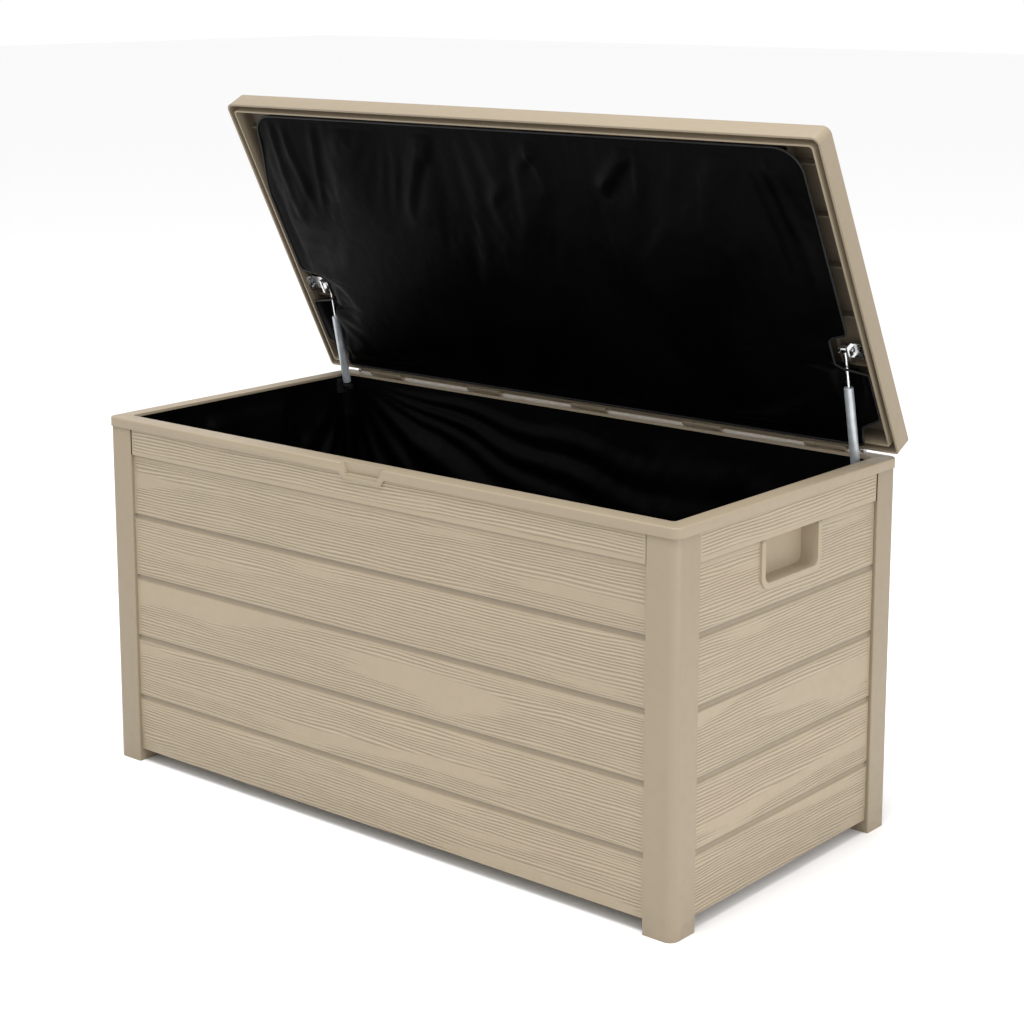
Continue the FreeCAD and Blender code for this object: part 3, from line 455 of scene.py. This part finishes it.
# ---- hardware -----------------------------------------------------------------------
def dress_metal():
    zinc = metal("zinc_plate", (0.52, 0.52, 0.53), 0.28, 0.42, (1, 1, 1))
    chrome = metal("chrome", (0.86, 0.86, 0.87), 0.20, 0.32, (0, 0, 1), grain=1500.0)
    tube = metal("strut_paint", (0.50, 0.53, 0.56), 0.28, 0.38, (1, 1, 1), metallic=0.45,
                 grain=500.0)
    blacked = metal("black_oxide", (0.012, 0.012, 0.013), 0.40, 0.52, (1, 1, 1), metallic=0.2)
    coated = metal("coated_rod", tuple(c * 0.7 for c in RESIN), 0.5, 0.6, (0, 1, 1), metallic=0.0)
    paint(["panel_screws", "rim_hinge_screws", "lid_hinge_screws", "hinge_rod_caps",
           "lid_reinforcing_tubes", "lid_tube_screws", "lid_bracket_screws"], zinc)
    paint(["hinge_rod"], coated)
    paint(["lower_bracket_screws"], blacked)
    for side in ("right", "left"):
        paint(["strut_cylinder_" + side], tube)
        paint(["strut_rod_" + side, "strut_upper_eye_" + side, "lid_strut_bracket_" + side,
               "strut_r_clip_" + side], chrome)
        paint(["strut_upper_pin_" + side], zinc)
        paint(["strut_lower_eye_" + side, "lower_strut_bracket_" + side,
               "lower_strut_pin_" + side], blacked)
        for stem in ("strut_cylinder_", "strut_rod_", "strut_upper_eye_", "strut_lower_eye_"):
            for polygon in nodes[stem + side].data.polygons:
                polygon.use_smooth = True
            nodes[stem + side].data.set_sharp_from_angle(angle=math.radians(35))


# ---- the liner ----------------------------------------------------------------------
LINER_SIDES = 600
LINER_ROWS = 96
LINER_ROUND = 0.020
LINER_HEM = 0.606
POCKET_HALF = 0.078
POCKET_LOW = 0.472
POCKET_HIGH = 0.560
POCKET_IN = 0.0105
FLOOR_RINGS = 25


def liner_ring(half_x, half_y, radius, count):
    """Points and inward directions round a rounded rectangle, from the middle of the rear."""
    straight_x = 2 * (half_x - radius)
    straight_y = 2 * (half_y - radius)
    turn = math.pi * radius / 2
    total = 2 * straight_x + 2 * straight_y + 4 * turn
    legs = [(straight_x / 2, 0), (turn, 1), (straight_y, 0), (turn, 1), (straight_x, 0),
            (turn, 1), (straight_y, 0), (turn, 1), (straight_x / 2, 0)]
    ring = []
    for i in range(count):
        left = total * i / count
        place = Vector((0.0, half_y))
        heading = Vector((-1.0, 0.0))
        for length, bends in legs:
            step = min(left, length)
            if bends:
                side = Vector((-heading.y, heading.x))
                angle = step / radius
                place = place + heading * radius * math.sin(angle)
                place = place + side * radius * (1 - math.cos(angle))
                heading = heading * math.cos(angle) + side * math.sin(angle)
            else:
                place = place + heading * step
            left -= step
            if left <= 1e-9:
                break
        ring.append((place.copy(), Vector((-heading.y, heading.x))))
    return ring


def fold(distance, width):
    """A soft pinched ridge across distance, one at its crest and nought past its width."""
    t = min(1.0, abs(distance) / width)
    return (1 - t) ** 2 * (1 + 2 * t)


def fanned_folds(run, drop, origin_run, angles):
    """Tension folds that fan down the wall from a corner; run and drop are along the wall."""
    reach = math.hypot(run - origin_run, drop)
    if reach < 1e-6:
        return 0.0
    angle = math.atan2(drop, run - origin_run)
    total = 0.0
    for middle, width, size in angles:
        sway = 0.05 * noise.noise(Vector((reach * 5, middle, 0)))
        total += size * fold(angle - middle - sway, width)
    return total * smooth(reach, 0.03, 0.26) * (1 - 0.45 * smooth(reach, 0.45, 0.95))


REAR_FAN = [(1.34, 0.09, 0.012), (1.08, 0.11, 0.018), (0.80, 0.12, 0.012), (0.50, 0.17, 0.026),
            (0.31, 0.07, 0.012), (0.21, 0.06, 0.012), (0.11, 0.05, 0.007)]
SIDE_FAN = [(1.40, 0.10, 0.012), (1.12, 0.12, 0.014), (0.78, 0.16, 0.012)]


def liner_push(x, y, drop):
    """How far the liner stands in from its wall at a place, drop below its hem."""
    half_x, half_y = LINER_HIGH.x, LINER_HIGH.y
    on_rear = smooth(y, half_y - 0.03, half_y - 0.004)
    on_front = smooth(-y, half_y - 0.03, half_y - 0.004)
    on_side = 1 - max(on_rear, on_front)
    slack = smooth(drop, 0.0, 0.09)
    push = 0.0
    push += on_rear * fanned_folds(x + half_x, drop, 0.0, REAR_FAN)
    push += on_rear * 0.6 * fanned_folds(half_x - x, drop, 0.0, SIDE_FAN)
    push += on_front * 0.7 * fanned_folds(half_x - x, drop, 0.0, REAR_FAN)
    push += on_side * fanned_folds(half_y - y, drop, 0.0, SIDE_FAN)
    push += on_side * 0.7 * fanned_folds(y + half_y, drop, 0.02, SIDE_FAN)
    run = x + 1.7 * y
    ripple = noise.noise(Vector((run * 9 - drop * 4, drop * 4.5, 3.0)))
    crease = noise.noise(Vector((run * 26 + drop * 9, drop * 12, 8.0)))
    push += slack * (0.010 * abs(ripple) + 0.0035 * abs(crease))
    return push


def liner_limits(x, y, z):
    """The least and the most that the liner may stand in from its wall here."""
    least = FABRIC_CLEAR
    on_side = smooth(abs(x), LINER_HIGH.x - 0.025, LINER_HIGH.x - 0.008)
    beside = on_side * (1 - smooth(abs(y), POCKET_HALF, POCKET_HALF + 0.03))
    level = smooth(z, POCKET_LOW - 0.03, POCKET_LOW)
    level *= 1 - smooth(z, POCKET_HIGH, POCKET_HIGH + 0.03)
    least = max(least, POCKET_IN * beside * level)
    near_strut = smooth(abs(x), 0.50, 0.53) * smooth(y, 0.17, 0.21) * smooth(z, 0.50, 0.54)
    most = 0.040 * (1 - near_strut) + 0.0012 * near_strut
    return least, max(most, least)


def make_liner(material):
    half_x = LINER_HIGH.x - 0.0008
    half_y = LINER_HIGH.y - 0.0008
    bottom = LINER_LOW.z + 0.0008
    ring = liner_ring(half_x, half_y, LINER_ROUND, LINER_SIDES)
    shape = bmesh.new()
    rows = []
    for r in range(LINER_ROWS + 1):
        drop = (LINER_HEM - bottom) * (r / LINER_ROWS) ** 1.15
        z = LINER_HEM - drop
        row = []
        for place, inward in ring:
            least, most = liner_limits(place.x, place.y, z)
            push = min(most, max(least, liner_push(place.x, place.y, drop)))
            foot = 0.018 * smooth(drop, LINER_HEM - bottom - 0.03, LINER_HEM - bottom)
            at = place + inward * max(push, foot)
            row.append(shape.verts.new((at.x, at.y, z)))
        rows.append(row)
    for upper, lower in zip(rows, rows[1:]):
        for i in range(LINER_SIDES):
            j = (i + 1) % LINER_SIDES
            shape.faces.new((upper[i], upper[j], lower[j], lower[i]))
    close_liner_floor(shape, rows[-1], bottom)
    for face in shape.faces:
        face.smooth = True
    bmesh.ops.recalc_face_normals(shape, faces=shape.faces)
    mesh = bpy.data.meshes.new("liner")
    shape.to_mesh(mesh)
    shape.free()
    mesh.materials.append(material)
    liner = bpy.data.objects.new("liner", mesh)
    bpy.context.scene.collection.objects.link(liner)
    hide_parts("inner_liner")
    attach(liner, "box")
    return liner


def close_liner_floor(shape, edge, bottom):
    """Rings of floor cloth drawn in to the middle, lying in soft puckers."""
    last = edge
    for k in range(1, FLOOR_RINGS):
        share = 1 - k / FLOOR_RINGS
        ring = []
        for vert in edge:
            x, y = vert.co.x * share, vert.co.y * share
            lift = 0.004 * abs(noise.noise(Vector((x * 9, y * 11, 5.0))))
            lift += 0.0015 * abs(noise.noise(Vector((x * 31, y * 27, 2.0))))
            ring.append(shape.verts.new((x, y, bottom + lift * smooth(k, 0, 3))))
        for i in range(len(edge)):
            j = (i + 1) % len(edge)
            shape.faces.new((last[i], last[j], ring[j], ring[i]))
        last = ring
    shape.faces.new(last)


# ---- the lid's cover ----------------------------------------------------------------
COVER_FRONT = -0.277
COVER_HEM = 0.2595
COVER_ROUND = 0.044
TUCKED = 0.598             # half width where the cover is tucked in along the skirt
BRACKET_ROOM = 0.541       # half width beside the strut brackets
COVER_HEIGHT = 0.0032      # of the cover's bound edge, above the underside of the lid
COVER_HIGHEST = 0.0090     # the tube screws are above this
COVER_LOWEST = -0.022
HEM_DROP = -0.0030         # the rear hem hangs in front of the lid's rear skirt
STRUT_ROOM = 0.0205        # the cover's height over the folded struts, at the brackets
PIPING_R = 0.0019
CLOTH_STEPS = 24
COVER_ROWS = 88
COVER_COLUMNS = 170
PIPING_STEPS = 110
HEM_START = 0.236          # where the cover begins to drop to its rear hem

# Places on the cover as (x, distance from the lid's rear edge).
RIDGE = [(-0.571, 0.0), (-0.571, 0.034), (-0.559, 0.118), (-0.519, 0.214), (-0.460, 0.298),
         (-0.397, 0.398), (-0.378, 0.473), (-0.339, 0.534), (-0.330, 0.56)]
CREASES = [                # path, width, height
    ([(-0.162, 0.535), (-0.215, 0.440), (-0.265, 0.353)], 0.024, 0.0080),
    ([(-0.150, 0.535), (-0.170, 0.470)], 0.014, 0.0050),
    ([(0.057, 0.535), (0.100, 0.418)], 0.018, 0.0055),
    ([(0.068, 0.520), (-0.020, 0.440), (-0.121, 0.374)], 0.022, 0.0060),
    ([(0.267, 0.535), (0.181, 0.441)], 0.022, 0.0075),
    ([(0.279, 0.535), (0.273, 0.423)], 0.016, 0.0055),
    ([(0.445, 0.530), (0.287, 0.358), (0.139, 0.238)], 0.034, 0.0090),
    ([(-0.502, 0.540), (-0.480, 0.430), (-0.463, 0.327)], 0.016, 0.0060),
    ([(-0.530, 0.535), (-0.520, 0.400), (-0.505, 0.280)], 0.014, 0.0050),
    ([(-0.420, 0.540), (-0.440, 0.430), (-0.461, 0.327)], 0.016, 0.0060),
    ([(-0.269, 0.343), (-0.094, 0.340), (0.034, 0.316)], 0.012, 0.0028),
    ([(-0.207, 0.161), (-0.050, 0.193), (0.149, 0.212), (0.408, 0.243)], 0.010, 0.0024),
    ([(0.212, 0.120), (0.363, 0.176), (0.518, 0.188)], 0.016, 0.0045),
    ([(0.515, 0.530), (0.546, 0.390), (0.556, 0.200)], 0.012, 0.0048),
    ([(0.490, 0.520), (0.520, 0.390), (0.530, 0.240)], 0.010, 0.0030),
    ([(0.300, 0.018), (0.430, 0.050), (0.544, 0.060)], 0.040, 0.0080),
    ([(-0.540, 0.060), (-0.380, 0.075), (-0.240, 0.050)], 0.030, 0.0060),
]


def blend_to(value, other, share):
    return value + (other - value) * share


def cover_reach(y, side):
    """How far the cover runs to one side of its middle, at a depth of the closed lid."""
    if side > 0:
        reach = blend_to(0.576, TUCKED, smooth(y, 0.100, 0.112))
    else:
        reach = blend_to(0.566, TUCKED, smooth(y, -0.25, -0.10))
    beside = smooth(y, 0.050, 0.064) * (1 - smooth(y, 0.113, 0.124))
    reach = blend_to(reach, BRACKET_ROOM, beside)
    reach = blend_to(reach, 0.560, smooth(y, 0.205, 0.232))
    for edge, radius in ((y - COVER_FRONT, COVER_ROUND), (COVER_HEM - y, 0.008)):
        if edge < radius:
            reach -= radius - math.sqrt(max(0.0, radius ** 2 - (radius - edge) ** 2))
    return reach


def between(path, level):
    """The x of a path at a distance from the lid's rear edge."""
    for (x0, s0), (x1, s1) in zip(path, path[1:]):
        if level <= s1:
            return x0 + (x1 - x0) * (level - s0) / (s1 - s0)
    return path[-1][0]


def crease(x, level, path, width, size):
    """A pinched fold along a path, strongest at the path's start."""
    near = 1.0
    along = 0.0
    steps = len(path) - 1
    for k, ((x0, s0), (x1, s1)) in enumerate(zip(path, path[1:])):
        dx, ds = x1 - x0, s1 - s0
        t = ((x - x0) * dx + (level - s0) * ds) / (dx * dx + ds * ds)
        t = min(1.0, max(0.0, t))
        gap = math.hypot(x - x0 - t * dx, level - s0 - t * ds)
        if gap < near:
            near = gap
            along = (k + t) / steps
    return size * fold(near, width) * (1 - smooth(along, 0.55, 1.0))


def cover_relief(x, y):
    """Folds and creases of the cloth; positive is out of the lid, to the viewer."""
    level = LID_REAR_Y - y
    aside = x - between(RIDGE, level)
    if aside < 0:
        relief = 0.012 * math.exp(-(aside / 0.030) ** 2) - 0.003 * smooth(-aside, 0.02, 0.08)
    else:
        relief = 0.012 * math.exp(-(aside / 0.100) ** 2)
    for path, width, size in CREASES:
        relief += crease(x, level, path, width, size)
    billow = noise.noise(Vector((x * 4.2, y * 6.5, 1.3)))
    relief += 0.0060 * billow + 0.0030 * noise.noise(Vector((x * 13 + y * 5, y * 9, 4.1)))
    relief += 0.0012 * noise.noise(Vector((x * 40, y * 33, 9.4)))
    return relief + 0.004 * (1 - smooth(level, 0.10, 0.35))


def strut_side(x, y):
    """One over a folded strut, nought well away from it."""
    ax = abs(x)
    across = smooth(ax, 0.530, 0.543) * (1 - smooth(ax, 0.568, 0.590))
    return across * smooth(y, 0.100, 0.118) * (1 - smooth(y, 0.215, 0.240))


def strut_room(y):
    return max(0.0010, STRUT_ROOM - 0.25 * max(0.0, y - 0.125))


def cover_limits(x, y):
    """The lowest and highest that the cloth may lie, from the underside of the closed lid."""
    ax = abs(x)
    over_rim = max(smooth(-y, 0.248, 0.262), smooth(ax, 0.552, 0.566))
    lowest = blend_to(COVER_LOWEST, 0.0008, over_rim)
    lowest = max(lowest, blend_to(COVER_LOWEST, strut_room(y), strut_side(x, y)))
    highest = COVER_HIGHEST + 0.0115 * smooth(ax, 0.533, 0.545)
    hem = smooth(y, 0.238, 0.2510)
    highest = blend_to(highest, HEM_DROP + 0.0014, hem)
    lowest = blend_to(lowest, HEM_DROP, hem)
    return min(lowest, highest), highest


def cover_edge_share(x, y):
    """Nought on the bound edge, one well inside the cover."""
    inside = min(cover_reach(y, 1 if x > 0 else -1) - abs(x), y - COVER_FRONT, COVER_HEM - y)
    return smooth(inside, 0.0, 0.040)


def cover_height(x, y):
    share = cover_edge_share(x, y)
    height = COVER_HEIGHT - share * (0.0030 + cover_relief(x, y))
    height = blend_to(height, strut_room(y), strut_side(x, y))
    return blend_to(height, HEM_DROP + 0.0005, smooth(y, HEM_START, 0.2510))


def cover_rows():
    """Rows of places on the closed lid's underside, front to rear, left to right."""
    rows = []
    for r in range(COVER_ROWS + 1):
        t = r / COVER_ROWS
        eased = 0.5 - 0.5 * math.cos(math.pi * t)
        y = COVER_FRONT + (COVER_HEM - COVER_FRONT) * (0.6 * t + 0.4 * eased)
        left, right = -cover_reach(y, -1), cover_reach(y, 1)
        rows.append([(left + (right - left) * c / COVER_COLUMNS, y)
                     for c in range(COVER_COLUMNS + 1)])
    return rows


def make_cover(material):
    shape = bmesh.new()
    rows = []
    for row in cover_rows():
        rows.append([shape.verts.new(opened(x, y, LID_SEAT + cover_height(x, y)))
                     for x, y in row])
    for upper, lower in zip(rows, rows[1:]):
        for i in range(len(upper) - 1):
            shape.faces.new((upper[i], upper[i + 1], lower[i + 1], lower[i]))
    mesh = bpy.data.meshes.new("lid_cover_cloth")
    shape.to_mesh(mesh)
    shape.free()
    mesh.materials.append(material)
    cover = bpy.data.objects.new("lid_cover_cloth", mesh)
    bpy.context.scene.collection.objects.link(cover)
    settle_cover(cover)
    keep_cover_in_place(cover)
    refine = cover.modifiers.new("refine", "SUBSURF")
    refine.levels = 1
    refine.render_levels = 1
    apply_modifiers(cover)
    for polygon in cover.data.polygons:
        polygon.use_smooth = True
    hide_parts("lid_cover")
    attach(cover, "lid")
    return cover


def settle_cover(cover):
    """Lets the cloth hang between its bound edges, then keeps the shape it took."""
    group = cover.vertex_groups.new(name="bound")
    held = []
    for vert in cover.data.vertices:
        x, y, _ = closed_place(vert.co)
        if cover_edge_share(x, y) < 0.03 or strut_side(x, y) > 0.02 or y > HEM_START:
            held.append(vert.index)
    group.add(held, 1.0, "REPLACE")
    cloth = cover.modifiers.new("cloth", "CLOTH")
    cloth.settings.vertex_group_mass = "bound"
    cloth.settings.quality = 7
    cloth.settings.mass = 0.10
    cloth.settings.tension_stiffness = 25
    cloth.settings.compression_stiffness = 25
    cloth.settings.shear_stiffness = 12
    cloth.settings.bending_stiffness = 2.5
    cloth.settings.effector_weights.gravity = 0.25
    cloth.settings.shrink_min = -0.002
    cloth.collision_settings.use_collision = False
    cloth.collision_settings.use_self_collision = False
    cloth.point_cache.frame_start = 1
    cloth.point_cache.frame_end = CLOTH_STEPS
    for step in range(1, CLOTH_STEPS + 1):
        bpy.context.scene.frame_set(step)
    apply_modifiers(cover)
    bpy.context.scene.frame_set(1)


def closed_place(point):
    """Where a point of the open lid is with the lid closed; height is from the underside."""
    closed = HINGE + OPEN_TURN.transposed() @ (point - HINGE)
    return closed.x, closed.y, closed.z - LID_SEAT


def keep_cover_in_place(cover):
    """Keeps the cloth between the lid's ribs and the rim, and lifts it where a strut folds."""
    for vert in cover.data.vertices:
        x, y, height = closed_place(vert.co)
        lowest, highest = cover_limits(x, y)
        vert.co = opened(x, y, LID_SEAT + min(highest, max(lowest, height)))


def make_piping(material):
    """The bound edge: a round cord that follows the cover's outline."""
    right, left = [], []
    for r in range(PIPING_STEPS + 1):
        eased = 0.5 - 0.5 * math.cos(math.pi * r / PIPING_STEPS)
        y = COVER_FRONT + (COVER_HEM - COVER_FRONT) * eased
        right.append((cover_reach(y, 1), y))
        left.append((-cover_reach(y, -1), y))
    around = right + left[::-1]
    curve = bpy.data.curves.new("cover_piping", "CURVE")
    curve.dimensions = "3D"
    curve.bevel_depth = PIPING_R
    curve.bevel_resolution = 3
    spline = curve.splines.new("POLY")
    spline.points.add(len(around) - 1)
    for point, (x, y) in zip(spline.points, around):
        wander = 0.0006 * noise.noise(Vector((x * 12, y * 12, 7.0)))
        height = blend_to(COVER_HEIGHT - 0.0004, HEM_DROP, smooth(y, HEM_START, 0.2490))
        point.co = (*opened(x, y, LID_SEAT + height + wander), 1.0)
    spline.use_cyclic_u = True
    curve.materials.append(material)
    piping = bpy.data.objects.new("cover_piping", curve)
    bpy.context.scene.collection.objects.link(piping)
    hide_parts("lid_cover_piping")
    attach(piping, "lid")
    return piping


def dress_fabric():
    liner_cloth = black_fabric("liner_cloth", (0.0011, 0.0011, 0.0012), 0.035, 900.0)
    cover_cloth = black_fabric("cover_cloth", (0.0011, 0.0011, 0.0011), 0.03, 900.0)
    binding = black_fabric("binding", (0.012, 0.012, 0.013), 0.20, 700.0)
    paint(["liner_hook_strip"], liner_cloth)
    liner = make_liner(liner_cloth)
    cover = make_cover(cover_cloth)
    piping = make_piping(binding)


make_camera()
make_stage()
dress_resin()
dress_metal()
dress_fabric()
